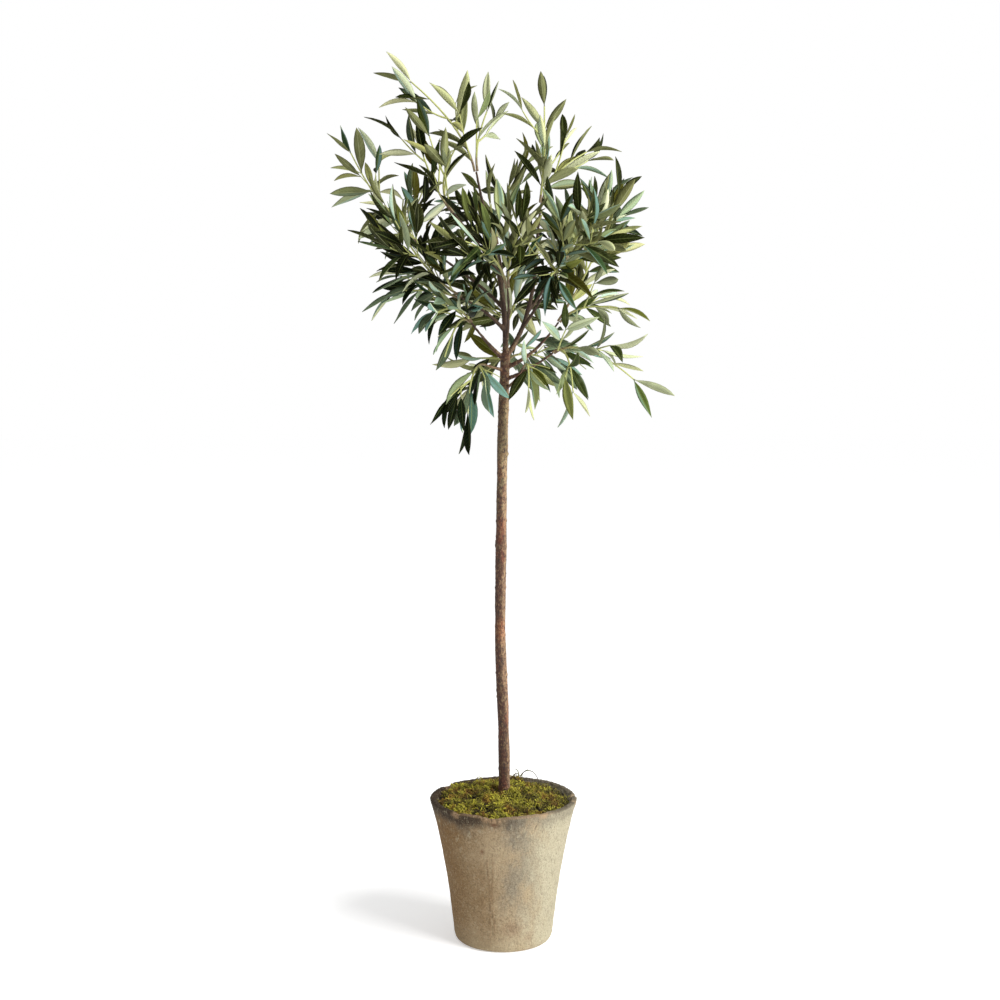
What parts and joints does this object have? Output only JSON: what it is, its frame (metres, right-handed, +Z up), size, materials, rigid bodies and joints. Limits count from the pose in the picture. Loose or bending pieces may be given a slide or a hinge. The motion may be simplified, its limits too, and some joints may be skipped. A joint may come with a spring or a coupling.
{
  "type": "artificial olive tree in a clay pot",
  "caption": "Standard-form artificial olive tree: slim bare trunk, open leafy crown on forking boughs, mossed and weighted in an aged flared clay pot.",
  "frame": {"origin": "middle of the pot's flat underside, on the floor", "axes": "+Z up the trunk, +X to the right as seen in the picture, -Y towards the viewer"},
  "size_m": [0.5742, 0.5101, 1.4896],
  "materials": {
    "clay": "aged unglazed clay, smoke-stained and chalky",
    "fill": "cement weight in the pot",
    "moss": "dry preserved moss",
    "bark": "mottled bark with small nodules",
    "leaf": "waxy fabric leaves, dark above and pale sage below"
  },
  "bodies": {
    "root": {"pot": "clay", "fill": "fill", "moss": "moss", "trunk": "bark", "bough_leader": "bark", "bough_leader_top": "bark", "bough_left_top": "bark", "bough_left_back": "bark", "bough_left_high": "bark", "bough_left": "bark", "bough_left_low": "bark", "bough_front": "bark", "bough_middle": "bark", "bough_middle_top": "bark", "bough_right_front": "bark", "bough_right_back": "bark", "bough_right": "bark", "bough_right_low": "bark", "bough_side": "bark", "bough_back": "bark", "bough_back_high": "bark", "bough_back_low": "bark", "leaves_top": "leaf", "leaves_top_middle": "leaf", "leaves_left_top": "leaf", "leaves_left_top_front": "leaf", "leaves_far_left": "leaf", "leaves_left_back": "leaf", "leaves_left_front": "leaf", "leaves_left_low": "leaf", "leaves_fan": "leaf", "leaves_hanging": "leaf", "leaves_lowest": "leaf", "leaves_front": "leaf", "leaves_front_left": "leaf", "leaves_middle_top": "leaf", "leaves_right_high": "leaf", "leaves_right_front": "leaf", "leaves_front_right": "leaf", "leaves_right_back": "leaf", "leaves_back_right": "leaf", "leaves_right": "leaf", "leaves_right_middle": "leaf", "leaves_right_low": "leaf", "leaves_right_hanging": "leaf", "leaves_side": "leaf", "leaves_back": "leaf", "leaves_back_left": "leaf", "leaves_back_high": "leaf", "leaves_back_left_high": "leaf", "leaves_back_low": "leaf", "leaves_back_right_low": "leaf"}
  },
  "joints": []
}
